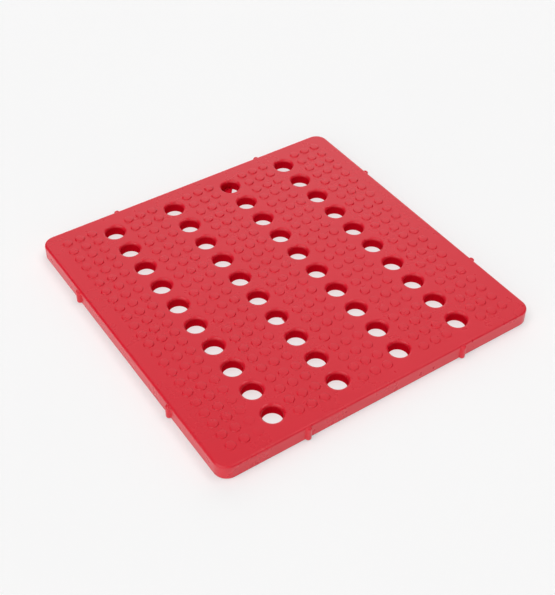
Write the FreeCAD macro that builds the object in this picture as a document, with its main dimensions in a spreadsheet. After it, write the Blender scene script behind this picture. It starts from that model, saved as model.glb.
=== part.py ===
import FreeCAD, Part
import os
import Sketcher

# Queen excluder: a square moulded sheet with four rows of round bee passages, studded lands
# between the rows and half-round locating nibs on its four sides. A rim round the underside
# carries its plate clear of what it rests on.
# Frame: millimetres, +Z up, origin under the middle of the sheet, on the plane its rim rests on.
# +X runs across the passage rows and +Y runs along them.

DIMENSIONS = {
    "sheet_side": 80.0,
    "sheet_height": 3.5,
    "plate_thickness": 2.6,
    "rim_width": 2.0,
    "corner_round": 3.0,
    "recess_corner_round": 1.0,
    "recess_root_round": 0.4,
    "top_edge_round": 0.4,
    "foot_edge_round": 0.2,
    "passage_bore": 4.4,
    "passage_lip": 0.65,
    "passage_foot": 0.15,
    "passage_rows": 4,
    "passages_per_row": 10,
    "row_pitch": 16.0,
    "passage_pitch": 7.4,
    "stud_width": 2.15,
    "stud_rise": 0.3,
    "stud_round": 0.24,
    "stud_column_pitch": 3.15,
    "stud_field": 71.0,
    "nib_radius": 0.7,
    "nib_drop": 0.15,
    "nib_round": 0.35,
    "nib_offset": 20.0,
    "nib_block": 6.0,
    "flash_foot": 0.15,
    "flash_thickness": 0.4,
}

LANDS = 5
COLUMNS_PER_LAND = 3
STUDS_IN_FIRST_LAND = 23
STUDS_IN_OTHER_LANDS = 22
CUTTER_OVERRUN = 1.0

# Each flash web: passage row and place (counted from -X and -Y), the way its open side faces
# in degrees from +X, and how far its straight edge lies from the passage's axis that way.
FLASH_WEBS = [
    ("flash_web_large", 2, 9, -38.0, 0.3),
    ("flash_web_small", 1, 3, 176.0, -1.75),
]

# The sides of the sheet as turns of the +X side about the vertical.
SIDES = {"right": 0.0, "back": 90.0, "left": 180.0, "front": 270.0}


def value_of(sheet, alias):
    return float(sheet.get(alias))


def make_sheet(doc):
    """The spreadsheet of driving dimensions, one alias to a row."""
    sheet = doc.addObject("Spreadsheet::Sheet", "Dimensions")
    for row, (alias, number) in enumerate(DIMENSIONS.items(), start=1):
        sheet.set(f"A{row}", alias.replace("_", " "))
        sheet.set(f"B{row}", str(number))
        sheet.setAlias(f"B{row}", alias)
    doc.recompute()
    return sheet


def origin_feature(body, role):
    return next(item for item in body.Origin.OriginFeatures if item.Role == role)


def new_body(doc, label):
    body = doc.addObject("PartDesign::Body", label)
    body.Label = label
    return body


def new_sketch(body, name, plane):
    sketch = body.newObject("Sketcher::SketchObject", name)
    sketch.AttachmentSupport = [(origin_feature(body, plane), "")]
    sketch.MapMode = "FlatFace"
    return sketch


def bind(sketch, index, name, expression):
    """Name a constraint and bind its value to the spreadsheet."""
    sketch.renameConstraint(index, name)
    sketch.setExpression(f"Constraints.{name}", expression)


def draw_square(sketch, side, expression):
    """A square centred on the sketch's origin, sized by one constraint."""
    half = side / 2
    corners = [(-half, -half), (half, -half), (half, half), (-half, half)]
    points = [FreeCAD.Vector(x, y, 0) for x, y in corners]
    for start, end in zip(points, points[1:] + points[:1]):
        sketch.addGeometry(Part.LineSegment(start, end))
    for line in range(4):
        sketch.addConstraint(Sketcher.Constraint("Coincident", line, 2, (line + 1) % 4, 1))
    for line, way in enumerate(["Horizontal", "Vertical", "Horizontal", "Vertical"]):
        sketch.addConstraint(Sketcher.Constraint(way, line))
    sketch.addConstraint(Sketcher.Constraint("Symmetric", 0, 1, 1, 2, -1, 1))
    sketch.addConstraint(Sketcher.Constraint("Equal", 0, 1))
    width = sketch.addConstraint(Sketcher.Constraint("Distance", 0, side))
    bind(sketch, width, "side", expression)


def quarter_arc(centre, radius, start_angle):
    circle = Part.Circle(centre, FreeCAD.Vector(0, 0, 1), radius)
    angle = FreeCAD.Units.Quantity(start_angle, "deg").getValueAs("rad").Value
    quarter = FreeCAD.Units.Quantity(90, "deg").getValueAs("rad").Value
    return Part.ArcOfCircle(circle, angle, angle + quarter)


def draw_passage(sketch, sheet):
    """Half the outline of a passage cutter: a straight bore that flares out at both faces.

    The sketch's first axis is the radius and its second is the height above the rest plane.
    """
    bore = value_of(sheet, "passage_bore") / 2
    lip = value_of(sheet, "passage_lip")
    foot = value_of(sheet, "passage_foot")
    top = value_of(sheet, "sheet_height")
    underside = top - value_of(sheet, "plate_thickness")
    low, high = underside - CUTTER_OVERRUN, top + CUTTER_OVERRUN
    axis_low, axis_high = FreeCAD.Vector(0, low, 0), FreeCAD.Vector(0, high, 0)
    foot_low = FreeCAD.Vector(bore + foot, low, 0)
    foot_rim = FreeCAD.Vector(bore + foot, underside, 0)
    bore_low = FreeCAD.Vector(bore, underside + foot, 0)
    bore_high = FreeCAD.Vector(bore, top - lip, 0)
    lip_rim = FreeCAD.Vector(bore + lip, top, 0)
    lip_high = FreeCAD.Vector(bore + lip, high, 0)
    foot_centre = FreeCAD.Vector(bore + foot, underside + foot, 0)
    lip_centre = FreeCAD.Vector(bore + lip, top - lip, 0)
    sketch.addGeometry(Part.LineSegment(axis_low, foot_low))
    sketch.addGeometry(Part.LineSegment(foot_low, foot_rim))
    sketch.addGeometry(quarter_arc(foot_centre, foot, 180))
    sketch.addGeometry(Part.LineSegment(bore_low, bore_high))
    sketch.addGeometry(quarter_arc(lip_centre, lip, 90))
    sketch.addGeometry(Part.LineSegment(lip_rim, lip_high))
    sketch.addGeometry(Part.LineSegment(lip_high, axis_high))
    sketch.addGeometry(Part.LineSegment(axis_high, axis_low))
    # (curve, its end) joined to (curve, its start); both arcs run anticlockwise
    joints = [(0, 2, 1, 1), (1, 2, 2, 2), (5, 2, 6, 1), (6, 2, 7, 1), (7, 2, 0, 1), (5, 1, 4, 1)]
    for joint in joints:
        sketch.addConstraint(Sketcher.Constraint("Coincident", *joint))
    sketch.addConstraint(Sketcher.Constraint("Tangent", 2, 1, 3, 1))
    sketch.addConstraint(Sketcher.Constraint("Tangent", 4, 2, 3, 2))
    for line in (0, 6):
        sketch.addConstraint(Sketcher.Constraint("Horizontal", line))
    for line in (1, 3, 5, 7):
        sketch.addConstraint(Sketcher.Constraint("Vertical", line))
    sketch.addConstraint(Sketcher.Constraint("PointOnObject", 7, 1, -2))
    sketch.addConstraint(Sketcher.Constraint("Vertical", 2, 2, 2, 3))
    sketch.addConstraint(Sketcher.Constraint("Vertical", 4, 1, 4, 3))
    bound = [
        (Sketcher.Constraint("DistanceX", -1, 1, 3, 1, bore), "bore", "passage_bore / 2"),
        (Sketcher.Constraint("Radius", 2, foot), "foot", "passage_foot"),
        (Sketcher.Constraint("Radius", 4, lip), "lip", "passage_lip"),
        (Sketcher.Constraint("DistanceY", -1, 1, 4, 1, top), "top", "sheet_height"),
        (
            Sketcher.Constraint("DistanceY", 1, 2, 4, 1, top - underside),
            "plate",
            "plate_thickness",
        ),
    ]
    for constraint, name, expression in bound:
        bind(sketch, sketch.addConstraint(constraint), name, f"Dimensions.{expression}")
    sketch.addConstraint(Sketcher.Constraint("DistanceY", 1, 1, 1, 2, CUTTER_OVERRUN))
    sketch.addConstraint(Sketcher.Constraint("DistanceY", 5, 1, 5, 2, CUTTER_OVERRUN))


def edges_where(shape, test):
    """The names of a shape's edges that pass a test, for a fillet to use."""
    return [f"Edge{i}" for i, edge in enumerate(shape.Edges, start=1) if test(edge)]


def lies_at(edge, height):
    box = edge.BoundBox
    return abs(box.ZMin - height) < 1e-6 and abs(box.ZMax - height) < 1e-6


def is_upright(edge):
    return edge.BoundBox.ZLength > 0.5 * edge.Length


def add_fillet(body, base, name, test, radius_alias):
    fillet = body.newObject("PartDesign::Fillet", name)
    fillet.Base = (base, edges_where(base.Shape, test))
    fillet.setExpression("Radius", f"Dimensions.{radius_alias}")
    body.Document.recompute()
    return fillet


def make_perforated_sheet(doc, sheet):
    """The sheet itself: a plate on a rim, with its rounds and all its bee passages."""
    body = new_body(doc, "perforated_sheet")
    outline = new_sketch(body, "SheetOutline", "XY_Plane")
    draw_square(outline, value_of(sheet, "sheet_side"), "Dimensions.sheet_side")
    pad = body.newObject("PartDesign::Pad", "SheetPad")
    pad.Profile = outline
    pad.setExpression("Length", "Dimensions.sheet_height")
    doc.recompute()
    height = value_of(sheet, "sheet_height")
    underside = height - value_of(sheet, "plate_thickness")
    corners = add_fillet(body, pad, "CornerRounds", is_upright, "corner_round")
    top = add_fillet(
        body, corners, "TopEdgeRound", lambda edge: lies_at(edge, height), "top_edge_round"
    )

    opening = new_sketch(body, "RecessOutline", "XY_Plane")
    inner_side = value_of(sheet, "sheet_side") - 2 * value_of(sheet, "rim_width")
    draw_square(opening, inner_side, "Dimensions.sheet_side - 2 * Dimensions.rim_width")
    recess = body.newObject("PartDesign::Pocket", "UndersideRecess")
    recess.Profile = opening
    recess.setExpression("Length", "Dimensions.sheet_height - Dimensions.plate_thickness")
    recess.Reversed = True
    doc.recompute()
    if recess.Shape.Volume >= top.Shape.Volume:
        raise RuntimeError("the recess removes nothing")
    recess_corners = add_fillet(
        body,
        recess,
        "RecessCornerRounds",
        lambda edge: is_upright(edge) and abs(edge.BoundBox.ZMax - underside) < 1e-6,
        "recess_corner_round",
    )
    root = add_fillet(
        body,
        recess_corners,
        "RecessRootRound",
        lambda edge: lies_at(edge, underside),
        "recess_root_round",
    )
    foot = add_fillet(
        body, root, "FootEdgeRound", lambda edge: lies_at(edge, 0.0), "foot_edge_round"
    )

    profile = new_sketch(body, "PassageProfile", "XZ_Plane")
    draw_passage(profile, sheet)
    # the plane's normal is -Y, so a positive offset along it goes towards -Y
    profile.setExpression(
        "AttachmentOffset.Base.x", "-Dimensions.row_pitch * (Dimensions.passage_rows - 1) / 2"
    )
    profile.setExpression(
        "AttachmentOffset.Base.z",
        "Dimensions.passage_pitch * (Dimensions.passages_per_row - 1) / 2",
    )
    groove = body.newObject("PartDesign::Groove", "FirstPassage")
    groove.Profile = profile
    groove.ReferenceAxis = (profile, ["V_Axis"])
    groove.Angle = 360
    doc.recompute()
    if groove.Shape.Volume >= foot.Shape.Volume:
        raise RuntimeError("the first passage removes nothing")

    pattern = body.newObject("PartDesign::LinearPattern", "AllPassages")
    pattern.Originals = [groove]
    pattern.Direction = (origin_feature(body, "X_Axis"), [""])
    pattern.setExpression(
        "Length", "Dimensions.row_pitch * (Dimensions.passage_rows - 1)"
    )
    pattern.setExpression("Occurrences", "Dimensions.passage_rows")
    pattern.Direction2 = (origin_feature(body, "Y_Axis"), [""])
    pattern.setExpression(
        "Length2", "Dimensions.passage_pitch * (Dimensions.passages_per_row - 1)"
    )
    pattern.setExpression("Occurrences2", "Dimensions.passages_per_row")
    body.Tip = pattern
    doc.recompute()
    return body


def draw_stud(sketch, sheet):
    """Half the outline of a low round stud with a soft top edge, standing on the sheet."""
    radius = value_of(sheet, "stud_width") / 2
    rise = value_of(sheet, "stud_rise")
    soft = value_of(sheet, "stud_round")
    base = value_of(sheet, "sheet_height")
    centre_low, rim_low = FreeCAD.Vector(0, base, 0), FreeCAD.Vector(radius, base, 0)
    rim_high = FreeCAD.Vector(radius, base + rise - soft, 0)
    flat_rim = FreeCAD.Vector(radius - soft, base + rise, 0)
    centre_high = FreeCAD.Vector(0, base + rise, 0)
    sketch.addGeometry(Part.LineSegment(centre_low, rim_low))
    sketch.addGeometry(Part.LineSegment(rim_low, rim_high))
    sketch.addGeometry(
        quarter_arc(FreeCAD.Vector(radius - soft, base + rise - soft, 0), soft, 0)
    )
    sketch.addGeometry(Part.LineSegment(flat_rim, centre_high))
    sketch.addGeometry(Part.LineSegment(centre_high, centre_low))
    for joint in [(0, 2, 1, 1), (3, 2, 4, 1), (4, 2, 0, 1)]:
        sketch.addConstraint(Sketcher.Constraint("Coincident", *joint))
    sketch.addConstraint(Sketcher.Constraint("Tangent", 1, 2, 2, 1))
    sketch.addConstraint(Sketcher.Constraint("Tangent", 2, 2, 3, 1))
    for line in (0, 3):
        sketch.addConstraint(Sketcher.Constraint("Horizontal", line))
    sketch.addConstraint(Sketcher.Constraint("Vertical", 1))
    sketch.addConstraint(Sketcher.Constraint("Vertical", 4))
    sketch.addConstraint(Sketcher.Constraint("PointOnObject", 0, 1, -2))
    bound = [
        (Sketcher.Constraint("DistanceX", 0, 1, 0, 2, radius), "radius", "stud_width / 2"),
        (Sketcher.Constraint("DistanceY", 4, 2, 4, 1, rise), "rise", "stud_rise"),
        (Sketcher.Constraint("Radius", 2, soft), "soft", "stud_round"),
        (Sketcher.Constraint("DistanceY", -1, 1, 0, 1, base), "base", "sheet_height"),
    ]
    for constraint, name, expression in bound:
        bind(sketch, sketch.addConstraint(constraint), name, f"Dimensions.{expression}")


def make_stud_column(doc, sheet, land, column):
    """One line of studs along a land: separate solids that share a node."""
    label = f"studs_land_{land + 1}_column_{column + 1}"
    studs = STUDS_IN_FIRST_LAND if land == 0 else STUDS_IN_OTHER_LANDS
    body = new_body(doc, label)
    body.AllowCompound = True
    profile = new_sketch(body, f"StudProfile{land + 1}{column + 1}", "XZ_Plane")
    draw_stud(profile, sheet)
    land_step = land - (LANDS - 1) / 2
    column_step = column - (COLUMNS_PER_LAND - 1) / 2
    profile.setExpression(
        "AttachmentOffset.Base.x",
        f"{land_step} * Dimensions.row_pitch + {column_step} * Dimensions.stud_column_pitch",
    )
    profile.setExpression("AttachmentOffset.Base.z", "Dimensions.stud_field / 2")
    stud = body.newObject("PartDesign::Revolution", f"FirstStud{land + 1}{column + 1}")
    stud.Profile = profile
    stud.ReferenceAxis = (profile, ["V_Axis"])
    stud.Angle = 360
    doc.recompute()
    pattern = body.newObject("PartDesign::LinearPattern", f"StudLine{land + 1}{column + 1}")
    pattern.Originals = [stud]
    pattern.Direction = (origin_feature(body, "Y_Axis"), [""])
    pattern.setExpression("Length", "Dimensions.stud_field")
    pattern.Occurrences = studs
    body.Tip = pattern
    doc.recompute()
    return body


def make_edge_block(doc):
    """A short length of the sheet's edge at the +X side, which the nibs are cut to fit."""
    block = doc.addObject("Part::Box", "EdgeBlock")
    for size in ("Length", "Width"):
        block.setExpression(size, "Dimensions.nib_block")
    block.setExpression("Height", "Dimensions.sheet_height")
    block.setExpression("Placement.Base.x", "Dimensions.sheet_side / 2 - Dimensions.nib_block")
    block.setExpression("Placement.Base.y", "-Dimensions.nib_block / 2")
    doc.recompute()
    outer = block.Shape.BoundBox.XMax
    rounds = []
    for number, edge in enumerate(block.Shape.Edges, start=1):
        box = edge.BoundBox
        if box.XMin < outer - 1e-6 or is_upright(edge):
            continue
        alias = "foot_edge_round" if box.ZMax < 1e-6 else "top_edge_round"
        radius = DIMENSIONS[alias]
        rounds.append((number, radius, radius))
    fillet = doc.addObject("Part::Fillet", "EdgeBlockRounds")
    fillet.Base = block
    fillet.Edges = rounds
    doc.recompute()
    return fillet


def make_nib(doc, block, side, turn, end, shift):
    """A half-round locating nib up one wall of the sheet, cut to the wall's own outline."""
    label = f"nib_{side}_{end}"
    post = doc.addObject("Part::Cylinder", f"Post_{side}_{end}")
    post.setExpression("Radius", "Dimensions.nib_radius")
    post.setExpression("Height", "Dimensions.sheet_height - Dimensions.nib_drop")
    post.setExpression("Placement.Base.x", "Dimensions.sheet_side / 2")
    doc.recompute()
    soft = DIMENSIONS["nib_round"]
    rings = [
        (number, soft, soft)
        for number, edge in enumerate(post.Shape.Edges, start=1)
        if edge.BoundBox.ZLength < 1e-6
    ]
    rounded = doc.addObject("Part::Fillet", f"PostRounds_{side}_{end}")
    rounded.Base = post
    rounded.Edges = rings
    nib = doc.addObject("Part::Cut", label)
    nib.Label = label
    nib.Base = rounded
    nib.Tool = block
    turned = FreeCAD.Rotation(FreeCAD.Vector(0, 0, 1), turn)
    along = turned.multVec(FreeCAD.Vector(0, shift * DIMENSIONS["nib_offset"], 0))
    nib.Placement = FreeCAD.Placement(along, turned)
    doc.recompute()
    return nib


def make_flash_web(doc, sheet, label, row, place, facing, reach):
    """A thin leftover web across part of one passage, low in its bore, with a straight edge."""
    disc = doc.addObject("Part::Cylinder", f"Disc_{label}")
    disc.setExpression("Radius", "Dimensions.passage_bore / 2")
    disc.setExpression("Height", "Dimensions.flash_thickness")
    disc.setExpression(
        "Placement.Base.z",
        "Dimensions.sheet_height - Dimensions.plate_thickness + Dimensions.flash_foot",
    )
    opening = doc.addObject("Part::Box", f"Opening_{label}")
    opening.setExpression("Length", "Dimensions.passage_bore")
    opening.setExpression("Width", "Dimensions.passage_bore * 2")
    opening.setExpression("Height", "Dimensions.sheet_height")
    opening.Placement.Base.x = reach
    opening.setExpression("Placement.Base.y", "-Dimensions.passage_bore")
    web = doc.addObject("Part::Cut", label)
    web.Label = label
    web.Base = disc
    web.Tool = opening
    across = row - (DIMENSIONS["passage_rows"] - 1) / 2
    along = place - (DIMENSIONS["passages_per_row"] - 1) / 2
    middle = FreeCAD.Vector(
        across * value_of(sheet, "row_pitch"), along * value_of(sheet, "passage_pitch"), 0
    )
    web.Placement = FreeCAD.Placement(middle, FreeCAD.Rotation(FreeCAD.Vector(0, 0, 1), facing))
    doc.recompute()
    return web


def check(doc, parts):
    """Stop if any object failed to compute, or if a sub-part isn't sound."""
    for item in doc.Objects:
        if "Invalid" in item.State or "Error" in item.State:
            raise RuntimeError(f"{item.Label} didn't compute: {item.State}")
    for part in parts:
        if part.Shape.isNull() or not part.Shape.isValid() or not part.Shape.Solids:
            raise RuntimeError(f"{part.Label} has no sound shape")


def main():
    os.makedirs("parts", exist_ok=True)
    doc = FreeCAD.newDocument("QueenExcluder")
    sheet = make_sheet(doc)
    parts = [make_perforated_sheet(doc, sheet)]
    for land in range(LANDS):
        for column in range(COLUMNS_PER_LAND):
            parts.append(make_stud_column(doc, sheet, land, column))
    block = make_edge_block(doc)
    for side, turn in SIDES.items():
        parts.append(make_nib(doc, block, side, turn, "a", -1))
        parts.append(make_nib(doc, block, side, turn, "b", 1))
    for web in FLASH_WEBS:
        parts.append(make_flash_web(doc, sheet, *web))
    doc.recompute()
    check(doc, parts)
    for part in parts:
        part.Shape.exportStep(f"parts/{part.Label}.step")


main()
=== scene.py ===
import math
import random

import bpy
from mathutils import Matrix, Vector


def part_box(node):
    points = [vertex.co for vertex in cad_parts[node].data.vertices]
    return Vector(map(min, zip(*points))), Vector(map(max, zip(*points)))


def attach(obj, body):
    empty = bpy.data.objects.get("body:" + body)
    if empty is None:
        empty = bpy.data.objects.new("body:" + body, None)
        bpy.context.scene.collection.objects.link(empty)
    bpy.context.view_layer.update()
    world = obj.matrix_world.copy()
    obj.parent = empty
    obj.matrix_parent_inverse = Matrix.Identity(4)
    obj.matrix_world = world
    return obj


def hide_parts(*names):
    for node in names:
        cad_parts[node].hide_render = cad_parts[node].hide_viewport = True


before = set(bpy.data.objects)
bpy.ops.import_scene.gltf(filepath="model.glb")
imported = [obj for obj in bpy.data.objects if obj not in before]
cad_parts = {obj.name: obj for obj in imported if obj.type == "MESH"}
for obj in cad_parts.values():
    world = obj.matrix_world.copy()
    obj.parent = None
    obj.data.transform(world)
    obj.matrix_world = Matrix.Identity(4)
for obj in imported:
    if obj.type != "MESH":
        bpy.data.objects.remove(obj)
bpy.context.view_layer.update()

# A moulded plastic queen excluder: one square plate on a rim, with four rows of round bee
# passages, lines of low studs on the lands, eight half-round locating nibs and two webs of flash.
# Everything is in metres, in the CAD frame: +Z up, origin under the middle of the sheet.

MM = 0.001
BODY = "root"
RANDOM_SEED = 27
random.seed(RANDOM_SEED)

# ---------------------------------------------------------------- sizes

_, sheet_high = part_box("perforated_sheet")
HALF_SIDE = sheet_high.x
TOP = sheet_high.z
PLATE_THICKNESS = 2.6 * MM
UNDERSIDE = TOP - PLATE_THICKNESS

PASSAGE_ROWS = 4
PASSAGES_PER_ROW = 10
ROW_PITCH = 16.0 * MM
PASSAGE_PITCH = 7.4 * MM
BORE_RADIUS = 2.2 * MM
LIP_ROUND = 0.65 * MM
FOOT_ROUND = 0.15 * MM

CORNER_ROUND = 3.0 * MM
TOP_EDGE_ROUND = 0.5 * MM
FOOT_EDGE_ROUND = 0.2 * MM
RIM_WIDTH = 2.0 * MM
ROOT_ROUND = 0.4 * MM

LANDS = 5
COLUMNS_PER_LAND = 3
STUDS_IN_FIRST_LAND = 23
STUDS_IN_OTHER_LANDS = 22

# ---------------------------------------------------------------- mesh helpers


def quarter_turn(steps):
    """Angles that step through a quarter turn, both ends included."""
    return [math.pi / 2 * step / steps for step in range(steps + 1)]


def make_piece(name, points, faces, material, nodes):
    """A mesh piece that stands for CAD nodes and rides on the sheet's one body."""
    mesh = bpy.data.meshes.new(name)
    mesh.from_pydata(points, [], faces)
    mesh.validate()
    mesh.polygons.foreach_set("use_smooth", [True] * len(mesh.polygons))
    mesh.materials.append(material)
    mesh.update()
    piece = bpy.data.objects.new(name, mesh)
    bpy.context.scene.collection.objects.link(piece)
    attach(piece, BODY)
    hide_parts(*nodes)
    return piece


def bridge(faces, outer, inner):
    """Quads between two closed rings of point numbers of the same length."""
    count = len(outer)
    for here in range(count):
        after = (here + 1) % count
        faces.append((outer[here], outer[after], inner[after], inner[here]))


# ---------------------------------------------------------------- the perforated sheet


class SheetMesh:
    """Collects the sheet's points, so that neighbouring cells share the points on their seam."""

    def __init__(self):
        self.points = []
        self.faces = []
        self.painted_shade = []
        self.shared = {}

    def add(self, point, painted_shade=0.0):
        """Adds a point; its second value, from 0 to 1, says how deep it lies inside a passage,
        which is how much painted shade it gets.
        """
        self.points.append(point)
        self.painted_shade.append(painted_shade)
        return len(self.points) - 1

    def add_shared(self, x, y, z):
        key = (round(x * 1e7), round(y * 1e7), round(z * 1e7))
        if key not in self.shared:
            self.shared[key] = self.add((x, y, z))
        return self.shared[key]


# Each passage's cell is one mesh tile, with this many steps along its sides
CELL_STEPS_X = 24
CELL_STEPS_Y = 12
LIP_STEPS = 12
BORE_STEPS = 6
FOOT_STEPS = 5
# Flat rings beside a rounding, which hold its shading inside it
PASSAGE_HOLD = 0.04 * MM
PASSAGE_COLLAR = 0.30 * MM


def cell_outline(middle_x, middle_y):
    """Points round a cell, anticlockwise from the middle of its +X side."""
    half_x, half_y = ROW_PITCH / 2, PASSAGE_PITCH / 2
    outline = []
    for step in range(CELL_STEPS_Y // 2):
        outline.append((half_x, 2 * half_y * step / CELL_STEPS_Y))
    for step in range(CELL_STEPS_X):
        outline.append((half_x - 2 * half_x * step / CELL_STEPS_X, half_y))
    for step in range(CELL_STEPS_Y):
        outline.append((-half_x, half_y - 2 * half_y * step / CELL_STEPS_Y))
    for step in range(CELL_STEPS_X):
        outline.append((-half_x + 2 * half_x * step / CELL_STEPS_X, -half_y))
    for step in range(CELL_STEPS_Y // 2):
        outline.append((half_x, -half_y + 2 * half_y * step / CELL_STEPS_Y))
    return [(middle_x + x, middle_y + y) for x, y in outline]


def passage_profile():
    """(radius, height, depth of painted shade) down a passage, from the top face through the lip to
    the foot.
    """
    lip_rim, foot_rim = BORE_RADIUS + LIP_ROUND, BORE_RADIUS + FOOT_ROUND
    profile = [(lip_rim + PASSAGE_COLLAR, TOP, 0.0), (lip_rim + PASSAGE_HOLD, TOP, 0.0)]
    # Painted shade grows down the lip, is full along the bore and fades out over the foot round
    for angle in quarter_turn(LIP_STEPS):
        drop = LIP_ROUND * (1 - math.cos(angle))
        reach = lip_rim - LIP_ROUND * math.sin(angle)
        profile.append((reach, TOP - drop, (drop / LIP_ROUND) ** 2))
    bore_top, bore_foot = TOP - LIP_ROUND, UNDERSIDE + FOOT_ROUND
    for step in range(1, BORE_STEPS):
        height = bore_top + (bore_foot - bore_top) * step / BORE_STEPS
        profile.append((BORE_RADIUS, height, 1.0))
    for angle in quarter_turn(FOOT_STEPS):
        out = FOOT_ROUND * (1 - math.cos(angle))
        height = bore_foot - FOOT_ROUND * math.sin(angle)
        profile.append((BORE_RADIUS + out, height, 1.0 - math.sin(angle)))
    profile.append((foot_rim + PASSAGE_HOLD, UNDERSIDE, 0.0))
    profile.append((foot_rim + PASSAGE_COLLAR, UNDERSIDE, 0.0))
    return profile


def passage_middle(row, place):
    """(x, y) of a passage's axis, by its row along X and its place along Y."""
    x = ROW_PITCH * (row - (PASSAGE_ROWS - 1) / 2)
    y = PASSAGE_PITCH * (place - (PASSAGES_PER_ROW - 1) / 2)
    return x, y


def add_cell(sheet, middle_x, middle_y, profile):
    """One passage with the square of plate round it, top, bore and underside."""
    outline = cell_outline(middle_x, middle_y)
    count = len(outline)
    top = [sheet.add_shared(x, y, TOP) for x, y in outline]
    foot = [sheet.add_shared(x, y, UNDERSIDE) for x, y in outline]
    last = top
    for radius, height, painted_shade in profile:
        ring = []
        for step in range(count):
            turn = 2 * math.pi * step / count
            x = middle_x + radius * math.cos(turn)
            y = middle_y + radius * math.sin(turn)
            ring.append(sheet.add((x, y, height), painted_shade))
        bridge(sheet.faces, last, ring)
        last = ring
    bridge(sheet.faces, last, foot)


CORNER_STEPS = 12
EDGE_STEPS = 10
WALL_STEPS = 4
RIM_STEPS = 5
ROOT_STEPS = 6
# Flat rings beside the roundings of the border, as beside those of the passages
EDGE_COLLAR = 0.9 * MM
EDGE_HOLD = 0.05 * MM
WALL_HOLD = 0.03 * MM


def side_outline(steps, half_field, straight_half):
    """One side of the sheet's outline, from corner to corner, beside a side of the passage field.

    Gives (place along the field, place along the side, turn of the outward normal): the steps
    nearest a corner go round the corner's arc and the others along the straight.
    """
    side = []
    for step in range(steps):
        field = -half_field + 2 * half_field * step / steps
        if step < CORNER_STEPS:
            turn = -math.pi / 4 * (1 - step / CORNER_STEPS)
            along = -straight_half + CORNER_ROUND * math.sin(turn)
        elif step > steps - CORNER_STEPS:
            turn = math.pi / 4 * (1 - (steps - step) / CORNER_STEPS)
            along = straight_half + CORNER_ROUND * math.sin(turn)
        else:
            turn = 0.0
            part = (step - CORNER_STEPS) / (steps - 2 * CORNER_STEPS)
            along = -straight_half + 2 * straight_half * part
        side.append((field, along, turn))
    return side


def sheet_outline():
    """Matching points round the passage field and the sheet's outline, with outward normals."""
    field_x = ROW_PITCH * PASSAGE_ROWS / 2
    field_y = PASSAGE_PITCH * PASSAGES_PER_ROW / 2
    straight = HALF_SIDE - CORNER_ROUND
    matched = []
    for quarter in range(4):
        across, length = (field_x, field_y) if quarter % 2 == 0 else (field_y, field_x)
        if quarter % 2 == 0:
            steps = CELL_STEPS_Y * PASSAGES_PER_ROW
        else:
            steps = CELL_STEPS_X * PASSAGE_ROWS
        turned = Matrix.Rotation(math.pi / 2 * quarter, 2)
        for field, along, turn in side_outline(steps, length, straight):
            out = straight + CORNER_ROUND * math.cos(turn)
            matched.append(
                (
                    turned @ Vector((across, field)),
                    turned @ Vector((out, along)),
                    turned @ Vector((math.cos(turn), math.sin(turn))),
                )
            )
    return matched


def border_profile():
    """(inset, height) round the rim: over the top edge, down the wall and up into the recess."""
    profile = [(TOP_EDGE_ROUND + EDGE_COLLAR, TOP), (TOP_EDGE_ROUND + EDGE_HOLD, TOP)]
    for angle in quarter_turn(EDGE_STEPS):
        inset = TOP_EDGE_ROUND * (1 - math.sin(angle))
        profile.append((inset, TOP - TOP_EDGE_ROUND * (1 - math.cos(angle))))
    wall_top, wall_foot = TOP - TOP_EDGE_ROUND, FOOT_EDGE_ROUND
    profile.append((0.0, wall_top - EDGE_HOLD))
    for step in range(1, WALL_STEPS):
        profile.append((0.0, wall_top + (wall_foot - wall_top) * step / WALL_STEPS))
    profile.append((0.0, wall_foot + WALL_HOLD))
    for angle in quarter_turn(RIM_STEPS):
        inset = FOOT_EDGE_ROUND * (1 - math.cos(angle))
        profile.append((inset, FOOT_EDGE_ROUND * (1 - math.sin(angle))))
    profile.append((FOOT_EDGE_ROUND + EDGE_HOLD, 0.0))
    profile.append((RIM_WIDTH - FOOT_EDGE_ROUND - EDGE_HOLD, 0.0))
    for angle in quarter_turn(RIM_STEPS):
        inset = RIM_WIDTH - FOOT_EDGE_ROUND * (1 - math.sin(angle))
        profile.append((inset, FOOT_EDGE_ROUND * (1 - math.cos(angle))))
    profile.append((RIM_WIDTH, (FOOT_EDGE_ROUND + UNDERSIDE - ROOT_ROUND) / 2))
    for angle in quarter_turn(ROOT_STEPS):
        inset = RIM_WIDTH + ROOT_ROUND * (1 - math.cos(angle))
        profile.append((inset, UNDERSIDE - ROOT_ROUND * (1 - math.sin(angle))))
    profile.append((RIM_WIDTH + ROOT_ROUND + EDGE_HOLD, UNDERSIDE))
    return profile


def build_sheet(material):
    """The whole sheet as one closed mesh: the field of passages, then the border round it."""
    sheet = SheetMesh()
    profile = passage_profile()
    for row in range(PASSAGE_ROWS):
        for place in range(PASSAGES_PER_ROW):
            middle_x, middle_y = passage_middle(row, place)
            add_cell(sheet, middle_x, middle_y, profile)
    matched = sheet_outline()
    last = [sheet.add_shared(field.x, field.y, TOP) for field, _, _ in matched]
    foot = [sheet.add_shared(field.x, field.y, UNDERSIDE) for field, _, _ in matched]
    for inset, height in border_profile():
        ring = []
        for _, edge, normal in matched:
            point = edge - normal * inset
            ring.append(sheet.add((point.x, point.y, height)))
        bridge(sheet.faces, ring, last)
        last = ring
    bridge(sheet.faces, foot, last)
    piece = make_piece("sheet", sheet.points, sheet.faces, material, ["perforated_sheet"])
    painted_shade = piece.data.attributes.new("painted_shade", "FLOAT", "POINT")
    painted_shade.data.foreach_set("value", sheet.painted_shade)


# ---------------------------------------------------------------- the studs

STUD_STEPS = 40
STUD_SINK = 0.012 * MM
STUD_FLARE = 0.12 * MM
STUD_SOFT = 0.26 * MM
STUD_CROWN = 0.03 * MM
STUD_RISE = 0.3 * MM
FLARE_STEPS = 5
SHOULDER_STEPS = 7
CROWN_STEPS = 4
# A low stud's flare takes no more than this part of its height
FLARE_PART = 0.4
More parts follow.
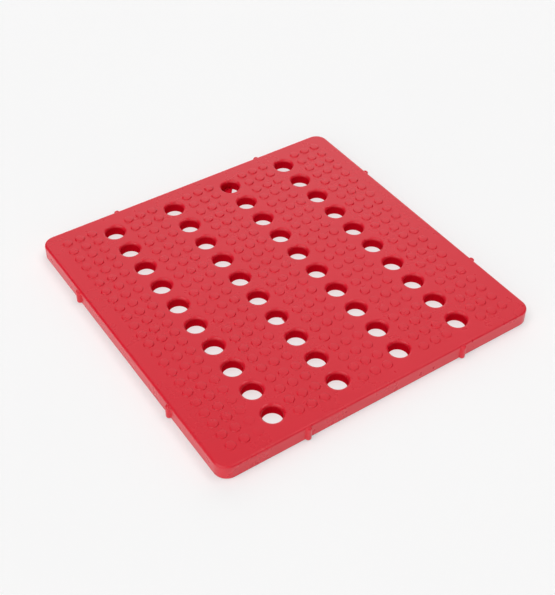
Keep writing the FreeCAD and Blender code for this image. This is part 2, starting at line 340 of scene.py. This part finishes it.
# Wear in the mould: the heights differ, the lines are lower towards the front, and the studs of
# the first land's inner line nearly vanish at the front corner
LEAST_HEIGHT = 0.72
FRONT_HEIGHT = 0.75
FADING_LINE = (0, 2)
FADE_START = 0.15
FADE_STEP = 0.11


def stud_profile(radius, rise):
    """(radius, height over the top face) from the flare at a stud's base to its crown."""
    flare = min(STUD_FLARE, rise * FLARE_PART)
    soft = min(STUD_SOFT, rise - flare)
    crown = STUD_CROWN * rise / STUD_RISE
    profile = [(radius + flare, -STUD_SINK)]
    for angle in quarter_turn(FLARE_STEPS):
        out = flare * (1 - math.sin(angle))
        profile.append((radius + out, flare * (1 - math.cos(angle))))
    shoulder = rise - crown - soft
    for angle in quarter_turn(SHOULDER_STEPS):
        inner = radius - soft * (1 - math.cos(angle))
        profile.append((inner, shoulder + soft * math.sin(angle)))
    flat = radius - soft
    for step in range(1, CROWN_STEPS):
        reach = flat * (1 - step / CROWN_STEPS)
        profile.append((reach, rise - crown * (reach / flat) ** 2))
    return profile


def add_stud(points, faces, middle_x, middle_y, radius, rise):
    """One closed stud, whose foot is sunk a little into the top face."""
    rings = []
    for reach, height in stud_profile(radius, rise):
        start = len(points)
        for step in range(STUD_STEPS):
            turn = 2 * math.pi * step / STUD_STEPS
            x = middle_x + reach * math.cos(turn)
            y = middle_y + reach * math.sin(turn)
            points.append((x, y, TOP + height))
        rings.append(list(range(start, start + STUD_STEPS)))
    faces.append(tuple(reversed(rings[0])))
    for outer, inner in zip(rings, rings[1:]):
        bridge(faces, outer, inner)
    points.append((middle_x, middle_y, TOP + rise))
    top = len(points) - 1
    last = rings[-1]
    for step in range(STUD_STEPS):
        faces.append((last[step], last[(step + 1) % STUD_STEPS], top))


def build_stud_column(land, column, material):
    """One line of studs, evenly spaced over its node's box."""
    node = f"studs_land_{land + 1}_column_{column + 1}"
    low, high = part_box(node)
    radius = (high.x - low.x) / 2
    rise = high.z - low.z
    count = STUDS_IN_FIRST_LAND if land == 0 else STUDS_IN_OTHER_LANDS
    first, last = low.y + radius, high.y - radius
    points, faces = [], []
    for number in range(count):
        middle_y = first + (last - first) * number / (count - 1)
        slope = FRONT_HEIGHT + (1 - FRONT_HEIGHT) * number / (count - 1)
        height = rise * random.uniform(LEAST_HEIGHT, 1.0) * slope
        if number == count - 1:
            height = rise
        if (land, column) == FADING_LINE:
            height *= min(1.0, FADE_START + FADE_STEP * number)
        add_stud(points, faces, (low.x + high.x) / 2, middle_y, radius, height)
    make_piece(f"{node}_moulded", points, faces, material, [node])


# ---------------------------------------------------------------- the locating nibs

SIDES = {"right": 0.0, "back": 90.0, "left": 180.0, "front": 270.0}
NIB_OFFSET = 20.0 * MM
NIB_FILLET = 0.16 * MM
NIB_TOP_ROUND = 0.4 * MM
NIB_FOOT_ROUND = 0.35 * MM
NIB_SINK = 0.03 * MM
NIB_FILLET_STEPS = 5
NIB_RIB_STEPS = 12
NIB_FOOT_STEPS = 6
NIB_BODY_STEPS = 8
NIB_TOP_STEPS = 8


def wall_reach(height):
    """How far the sheet's wall stands from the middle at a height, over its edge rounds."""
    top_start = TOP - TOP_EDGE_ROUND
    if height > top_start:
        rise = height - top_start
        return HALF_SIDE - TOP_EDGE_ROUND + math.sqrt(max(TOP_EDGE_ROUND**2 - rise**2, 0.0))
    if height < FOOT_EDGE_ROUND:
        fall = FOOT_EDGE_ROUND - height
        return HALF_SIDE - FOOT_EDGE_ROUND + math.sqrt(max(FOOT_EDGE_ROUND**2 - fall**2, 0.0))
    return HALF_SIDE


def nib_section(radius, height):
    """A nib's outline at a height: out along its fillet, round its rib and back along the wall."""
    wall = wall_reach(height)
    centre_x = wall + NIB_FILLET
    if centre_x <= HALF_SIDE:
        centre_y = radius + NIB_FILLET
        touch = Vector((centre_x, radius))
    else:
        gap = centre_x - HALF_SIDE
        centre_y = math.sqrt((radius + NIB_FILLET) ** 2 - gap**2)
        touch = Vector((HALF_SIDE, 0)) + Vector((gap, centre_y)).normalized() * radius
    centre = Vector((centre_x, centre_y))
    end = touch - centre
    end_turn = math.atan2(end.y, end.x)
    start_turn = -math.pi
    half = []
    for step in range(NIB_FILLET_STEPS + 1):
        turn = start_turn + (end_turn - start_turn) * step / NIB_FILLET_STEPS
        half.append(centre + NIB_FILLET * Vector((math.cos(turn), math.sin(turn))))
    first = math.atan2(touch.y, max(touch.x - HALF_SIDE, 0.0))
    for step in range(1, NIB_RIB_STEPS + 1):
        turn = first * (1 - step / NIB_RIB_STEPS)
        half.append(Vector((HALF_SIDE, 0)) + radius * Vector((math.cos(turn), math.sin(turn))))
    mirrored = [Vector((point.x, -point.y)) for point in reversed(half[:-1])]
    back = [
        Vector((wall - NIB_SINK, -centre_y)),
        Vector((wall - NIB_SINK, 0.0)),
        Vector((wall - NIB_SINK, centre_y)),
    ]
    return half + mirrored + back


def nib_levels(radius, top):
    """(height, radius) up a nib, rounded at its foot and at its top."""
    levels = []
    for angle in quarter_turn(NIB_FOOT_STEPS):
        low = NIB_FOOT_ROUND * (1 - math.cos(angle))
        levels.append((low, radius - NIB_FOOT_ROUND * (1 - math.sin(angle))))
    body_foot, body_top = NIB_FOOT_ROUND, top - NIB_TOP_ROUND
    for step in range(1, NIB_BODY_STEPS):
        height = body_foot + (body_top - body_foot) * step / NIB_BODY_STEPS
        levels.append((height, radius))
    for angle in quarter_turn(NIB_TOP_STEPS):
        high = body_top + NIB_TOP_ROUND * math.sin(angle)
        levels.append((high, radius - NIB_TOP_ROUND * (1 - math.cos(angle))))
    return levels


def build_nib(side, end, turn, shift, material):
    """One nib on a side's wall, set off from the side's middle by the shift."""
    node = f"nib_{side}_{end}"
    low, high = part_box(node)
    radius = max(high.x - low.x, high.y - low.y) / 2
    top = high.z
    turned = Matrix.Rotation(math.radians(turn), 3, "Z")
    place = turned @ Vector((0, shift * NIB_OFFSET, 0))
    points, faces, rings = [], [], []
    for height, reach in nib_levels(radius, top):
        ring = []
        for point in nib_section(reach, height):
            spot = turned @ Vector((point.x, point.y, height)) + place
            points.append(tuple(spot))
            ring.append(len(points) - 1)
        rings.append(ring)
    for lower, upper in zip(rings, rings[1:]):
        bridge(faces, upper, lower)
    faces.append(tuple(rings[0]))
    faces.append(tuple(reversed(rings[-1])))
    make_piece(f"{node}_moulded", points, faces, material, [node])


# ---------------------------------------------------------------- the webs of flash

FLASH_ARC_STEPS = 40
FLASH_TEAR_STEPS = 26
# The tear wanders between these two, and settles over a sixth of its length at each end
TEAR_DEEPEST = -0.10 * MM
TEAR_PROUDEST = 0.03 * MM
TEAR_EASE = 6
# The webs: (node, row, place in its row, way that the tear faces in degrees, tear from the axis)
FLASH_WEBS = [
    ("flash_web_large", 2, 9, -38.0, 0.3 * MM),
    ("flash_web_small", 1, 3, 176.0, -1.75 * MM),
]
# Near its faces, a web's torn edge draws in towards the web's middle to these parts of its reach
TEAR_DRAW = 0.985
TEAR_DRAW_TOP = 0.95
# and it does so within these distances of its lower and its upper face
FLASH_FOOT_ROUND = 0.08 * MM
FLASH_SHOULDER = 0.16 * MM
FLASH_TOP_ROUND = 0.05 * MM
# A point this near the bore's radius lies on the bore and doesn't draw in
ON_BORE = 0.001 * BORE_RADIUS


def flash_outline(radius, reach):
    """A web's outline round its passage's axis: the bore's arc, and a torn edge facing +X."""
    limit = math.acos(reach / radius)
    outline = []
    for step in range(FLASH_ARC_STEPS + 1):
        turn = limit + (2 * math.pi - 2 * limit) * step / FLASH_ARC_STEPS
        outline.append(Vector((radius * math.cos(turn), radius * math.sin(turn))))
    low, high = outline[-1], outline[0]
    for step in range(1, FLASH_TEAR_STEPS):
        part = step / FLASH_TEAR_STEPS
        spot = low.lerp(high, part)
        ease = min(1.0, TEAR_EASE * part, TEAR_EASE * (1 - part))
        spot.x += ease * random.uniform(TEAR_DEEPEST, TEAR_PROUDEST)
        outline.append(spot)
    return outline


def build_flash_web(node, row, place, facing, reach, material):
    """One web low in a passage: a thin plate against the bore, with a torn edge across it."""
    low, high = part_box(node)
    middle_x, middle_y = passage_middle(row, place)
    turned = Matrix.Rotation(math.radians(facing), 2)
    outline = flash_outline(BORE_RADIUS, reach)
    centre = sum(outline, Vector((0, 0))) / len(outline)
    levels = [
        (TEAR_DRAW, low.z),
        (1.0, low.z + FLASH_FOOT_ROUND),
        (1.0, high.z - FLASH_SHOULDER),
        (TEAR_DRAW, high.z - FLASH_TOP_ROUND),
        (TEAR_DRAW_TOP, high.z),
    ]
    points, faces, rings = [], [], []
    for scale, height in levels:
        ring = []
        for spot in outline:
            on_bore = spot.length > BORE_RADIUS - ON_BORE
            drawn = spot if on_bore else centre + (spot - centre) * scale
            flat = turned @ drawn
            points.append((middle_x + flat.x, middle_y + flat.y, height))
            ring.append(len(points) - 1)
        rings.append(ring)
    for lower, upper in zip(rings, rings[1:]):
        bridge(faces, lower, upper)
    faces.append(tuple(reversed(rings[0])))
    faces.append(tuple(rings[-1]))
    make_piece(f"{node}_torn", points, faces, material, [node])


# ---------------------------------------------------------------- materials

# Noise stays mostly between these two values
NOISE_LOW, NOISE_HIGH = 0.3, 0.7

# Noises, as (waves to a metre, detail, roughness), and bumps, as (strength, depth)
DRIFT_NOISE = (55.0, 2.0, 0.5)
SPECK_NOISE = (2600.0, 2.0, 0.6)
PATCH_NOISE = (140.0, 4.0, 0.6)
WAVE_NOISE = (120.0, 1.0, 0.4)
GRAIN_NOISE = (3400.0, 3.0, 0.55)
FLOOR_NOISE = (9.0, 3.0, 0.5)
WAVE_BUMP = (0.25, 0.10 * MM)
GRAIN_BUMP = (0.35, 0.012 * MM)

RED_DEEP = (0.685, 0.003, 0.019, 1)
RED_LIGHT = (0.725, 0.004, 0.024, 1)
RED_SPECK = (0.695, 0.004, 0.021, 1)
RED_PAINTED_SHADE = (0.53, 0.002, 0.012, 1)
# Painted shade: the darker red deep inside the passages
PLASTIC_IOR = 1.49
ROUGHNESS_LOW, ROUGHNESS_HIGH = 0.25, 0.32
# Sheen of the walls and of the faces, and how upright a normal is where each begins
WALL_SHEEN, FACE_SHEEN = 0.66, 0.5
WALL_TILT, FACE_TILT = 0.3, 0.9

FLOOR_WHITE_LOW = (0.945, 0.655, 0.655, 1)
FLOOR_WHITE_HIGH = (0.955, 0.665, 0.665, 1)
# Painted light: under the sheet the board is darker but glows brighter, so the ground seen through
# the passages stays pale
FLOOR_COVERED = (0.30, 0.30, 0.30, 1)
GLOW_OPEN = (0.06, 0.325, 0.325, 1)
GLOW_COVERED = (0.65, 0.67, 0.67, 1)
GLOW_FADE = 0.8 * MM
FLOOR_ROUGHNESS = 0.9


def new_material(name):
    """A new material, its node tree and its shader."""
    material = bpy.data.materials.new(name)
    material.use_nodes = True
    tree = material.node_tree
    return material, tree, tree.nodes["Principled BSDF"]


def add_noise(tree, coordinates, scale, detail, roughness):
    """A noise's value; its scale is in waves to a metre."""
    noise = tree.nodes.new("ShaderNodeTexNoise")
    noise.inputs["Scale"].default_value = scale
    noise.inputs["Detail"].default_value = detail
    noise.inputs["Roughness"].default_value = roughness
    tree.links.new(coordinates, noise.inputs["Vector"])
    return noise.outputs["Fac"]


def add_range(tree, value, low, high):
    """Spreads a noise over low to high."""
    return add_span(tree, value, low, high, NOISE_LOW, NOISE_HIGH)


def add_span(tree, value, start, end, low=0.0, high=1.0):
    """Goes from start to end as a value goes from low to high."""
    span = tree.nodes.new("ShaderNodeMapRange")
    span.inputs["From Min"].default_value = low
    span.inputs["From Max"].default_value = high
    span.inputs["To Min"].default_value = start
    span.inputs["To Max"].default_value = end
    tree.links.new(value, span.inputs["Value"])
    return span.outputs["Result"]


def add_math(tree, operation, *values):
    """One operation on one or two linked values."""
    node = tree.nodes.new("ShaderNodeMath")
    node.operation = operation
    for socket, value in zip(node.inputs, values):
        tree.links.new(value, socket)
    return node.outputs["Value"]


def add_mix(tree, factor, first, second):
    """Goes from the first colour to the second with the factor; each is a tuple or a socket."""
    mix = tree.nodes.new("ShaderNodeMix")
    mix.data_type = "RGBA"
    tree.links.new(factor, mix.inputs["Factor"])
    for socket, colour in ((mix.inputs["A"], first), (mix.inputs["B"], second)):
        if isinstance(colour, tuple):
            socket.default_value = colour
        else:
            tree.links.new(colour, socket)
    return mix.outputs["Result"]


def add_bump(tree, height, strength, distance, normal=None):
    """A bump of this depth in metres, on top of an earlier one where a normal is given."""
    bump = tree.nodes.new("ShaderNodeBump")
    bump.inputs["Strength"].default_value = strength
    bump.inputs["Distance"].default_value = distance
    tree.links.new(height, bump.inputs["Height"])
    if normal is not None:
        tree.links.new(normal, bump.inputs["Normal"])
    return bump.outputs["Normal"]


def moulded_plastic():
    """Red satin polypropylene: slow colour drift, a fine moulded grain and soft flow waves.

    Its walls, which drew along the mould, shine more than its faces. Inside the passages it is
    painted with shade: a deeper red and no sheen, growing down the lip and full along the bore.
    """
    material, tree, shader = new_material("moulded_red_plastic")
    coordinates = tree.nodes.new("ShaderNodeTexCoord")
    place = coordinates.outputs["Object"]
    drift = add_range(tree, add_noise(tree, place, *DRIFT_NOISE), 0.0, 1.0)
    speck = add_range(tree, add_noise(tree, place, *SPECK_NOISE), 0.0, 1.0)
    body = add_mix(tree, drift, RED_DEEP, RED_LIGHT)
    flecked = add_mix(tree, speck, RED_SPECK, body)
    # Painted shade: deep in the passages the colour goes to a darker red
    painted_shade = tree.nodes.new("ShaderNodeAttribute")
    painted_shade.attribute_name = "painted_shade"
    inside = painted_shade.outputs["Fac"]
    colour = add_mix(tree, inside, flecked, RED_PAINTED_SHADE)
    tree.links.new(colour, shader.inputs["Base Color"])
    patches = add_noise(tree, place, *PATCH_NOISE)
    roughness = add_range(tree, patches, ROUGHNESS_LOW, ROUGHNESS_HIGH)
    tree.links.new(roughness, shader.inputs["Roughness"])
    facing = tree.nodes.new("ShaderNodeSeparateXYZ")
    tree.links.new(coordinates.outputs["Normal"], facing.inputs["Vector"])
    upright = add_math(tree, "ABSOLUTE", facing.outputs["Z"])
    polish = add_span(tree, upright, WALL_SHEEN, FACE_SHEEN, WALL_TILT, FACE_TILT)
    # Painted shade: the sheen fades to nothing inside the passages
    sheen = add_math(tree, "MULTIPLY", polish, add_span(tree, inside, 1.0, 0.0))
    tree.links.new(sheen, shader.inputs["Specular IOR Level"])
    waves = add_noise(tree, place, *WAVE_NOISE)
    grain = add_noise(tree, place, *GRAIN_NOISE)
    normal = add_bump(tree, waves, *WAVE_BUMP)
    normal = add_bump(tree, grain, *GRAIN_BUMP, normal)
    tree.links.new(normal, shader.inputs["Normal"])
    shader.inputs["IOR"].default_value = PLASTIC_IOR
    return material


def pale_floor():
    """Matt white board that also glows a little, and more so where the sheet covers it.

    The glow keeps the shadows pale, and the ground seen through the passages as pale as the open
    floor. The board's own red and the glow's blue-green add up to white, so that the red light
    that the walls throw on it shows only faintly.
    """
    material, tree, shader = new_material("pale_floor")
    place = tree.nodes.new("ShaderNodeTexCoord").outputs["Object"]
    away = tree.nodes.new("ShaderNodeSeparateXYZ")
    tree.links.new(place, away.inputs["Vector"])
    across = add_math(tree, "ABSOLUTE", away.outputs["X"])
    along = add_math(tree, "ABSOLUTE", away.outputs["Y"])
    reach = add_math(tree, "MAXIMUM", across, along)
    inner = HALF_SIDE - RIM_WIDTH
    # Painted light: the mask for the brighter glow under the sheet, fading out over the rim
    painted_light_under_sheet = add_span(tree, reach, 1.0, 0.0, inner, inner + GLOW_FADE)
    drift = add_range(tree, add_noise(tree, place, *FLOOR_NOISE), 0.0, 1.0)
    open_white = add_mix(tree, drift, FLOOR_WHITE_LOW, FLOOR_WHITE_HIGH)
    colour = add_mix(tree, painted_light_under_sheet, open_white, FLOOR_COVERED)
    tree.links.new(colour, shader.inputs["Base Color"])
    glow = add_mix(tree, painted_light_under_sheet, GLOW_OPEN, GLOW_COVERED)
    tree.links.new(glow, shader.inputs["Emission Color"])
    shader.inputs["Emission Strength"].default_value = 1.0
    shader.inputs["Roughness"].default_value = FLOOR_ROUGHNESS
    shader.inputs["Specular IOR Level"].default_value = 0.0
    return material


# ---------------------------------------------------------------- the pieces

plastic = moulded_plastic()
build_sheet(plastic)
for land in range(LANDS):
    for column in range(COLUMNS_PER_LAND):
        build_stud_column(land, column, plastic)
for side, turn in SIDES.items():
    build_nib(side, "a", turn, -1, plastic)
    build_nib(side, "b", turn, 1, plastic)
for node, row, place, facing, reach in FLASH_WEBS:
    build_flash_web(node, row, place, facing, reach, plastic)

# ---------------------------------------------------------------- floor, light and camera

FLOOR_HALF = 1.5
# The floor lies this far under the sheet's foot
FLOOR_GAP = 0.02 * MM

# The sky adds up soft lobes: (towards, cosines where it starts and where it is full, brightness
# outside it, brightness inside it). They are the dim sky, the pale horizon, a panel low behind, a
# weak one over it, a small bright one overhead to the right, and one each to the left and in front.
SKY_LOBES = [
    ((0.0, 0.0, 1.0), -0.2, 0.9, 0.07, 0.10),
    ((0.0, 0.0, -1.0), -0.12, 0.0, 0.0, 0.80),
    ((0.55, 0.80, 0.32), 0.76, 0.97, 0.0, 1.20),
    ((0.28, 0.42, 0.86), 0.88, 0.98, 0.0, 0.30),
    ((0.41, -0.12, 0.90), 0.93, 0.99, 0.0, 3.00),
    ((-1.0, -0.35, 0.25), 0.60, 0.97, 0.0, 1.00),
    ((-0.3, -1.0, 0.25), 0.60, 0.97, 0.0, 0.62),
]

SUN_STRENGTH = 1.03
SUN_SPREAD = math.radians(50)
SUN_TOWARDS = (-0.4, 0.12, 0.9)

# The camera's place is in sides of the sheet from the middle of its foot plane
CAMERA_PLACE = Vector((-1.2391, -1.7936, 2.0227))
CAMERA_FORWARD = Vector((0.4114, 0.5969, -0.6888))
CAMERA_RIGHT = Vector((0.8288, -0.5594, 0.0102))
IMAGE_WIDTH = 555
FOCAL_PIXELS = 1042.7
SENSOR_WIDTH = 36.0
CLIP_START, CLIP_END = 0.005, 20.0


def build_floor():
    """One plain square, far larger than the sheet."""
    mesh = bpy.data.meshes.new("floor")
    corners = [(-1, -1), (1, -1), (1, 1), (-1, 1)]
    points = [(x * FLOOR_HALF, y * FLOOR_HALF, -FLOOR_GAP) for x, y in corners]
    mesh.from_pydata(points, [], [(0, 1, 2, 3)])
    mesh.materials.append(pale_floor())
    floor = bpy.data.objects.new("floor", mesh)
    bpy.context.scene.collection.objects.link(floor)


def build_sky():
    """A dim white studio sky with a pale horizon and soft panels."""
    world = bpy.data.worlds.new("studio")
    bpy.context.scene.world = world
    world.use_nodes = True
    tree = world.node_tree
    background = tree.nodes["Background"]
    background.inputs["Color"].default_value = (1.0, 1.0, 1.0, 1)
    way = tree.nodes.new("ShaderNodeTexCoord").outputs["Generated"]
    strength = None
    for towards, start, end, low, high in SKY_LOBES:
        toward = tree.nodes.new("ShaderNodeVectorMath")
        toward.operation = "DOT_PRODUCT"
        toward.inputs[1].default_value = Vector(towards).normalized()
        tree.links.new(way, toward.inputs[0])
        lobe = tree.nodes.new("ShaderNodeMapRange")
        lobe.interpolation_type = "SMOOTHSTEP"
        lobe.inputs["From Min"].default_value = start
        lobe.inputs["From Max"].default_value = end
        lobe.inputs["To Min"].default_value = low
        lobe.inputs["To Max"].default_value = high
        tree.links.new(toward.outputs["Value"], lobe.inputs["Value"])
        if strength is None:
            strength = lobe.outputs["Result"]
        else:
            total = tree.nodes.new("ShaderNodeMath")
            tree.links.new(strength, total.inputs[0])
            tree.links.new(lobe.outputs["Result"], total.inputs[1])
            strength = total.outputs["Value"]
    tree.links.new(strength, background.inputs["Strength"])


def build_sun():
    """One large soft source above the sheet and a little to its left."""
    data = bpy.data.lights.new("key", "SUN")
    data.energy = SUN_STRENGTH
    data.angle = SUN_SPREAD
    lamp = bpy.data.objects.new("key", data)
    bpy.context.scene.collection.objects.link(lamp)
    towards = Vector(SUN_TOWARDS).normalized()
    lamp.rotation_euler = towards.to_track_quat("Z", "Y").to_euler()


def build_camera():
    """Above the front left, looking down at the sheet."""
    data = bpy.data.cameras.new("camera")
    data.sensor_fit = "HORIZONTAL"
    data.sensor_width = SENSOR_WIDTH
    data.lens = FOCAL_PIXELS / IMAGE_WIDTH * SENSOR_WIDTH
    data.clip_start = CLIP_START
    data.clip_end = CLIP_END
    camera = bpy.data.objects.new("camera", data)
    bpy.context.scene.collection.objects.link(camera)
    forward = CAMERA_FORWARD.normalized()
    right = (CAMERA_RIGHT - forward * CAMERA_RIGHT.dot(forward)).normalized()
    up = right.cross(forward)
    place = CAMERA_PLACE * (2 * HALF_SIDE)
    axes = Matrix((right, up, -forward)).transposed().to_4x4()
    camera.matrix_world = Matrix.Translation(place) @ axes
    bpy.context.scene.camera = camera


build_floor()
build_sky()
build_sun()
build_camera()
bpy.context.scene.view_settings.view_transform = "Standard"
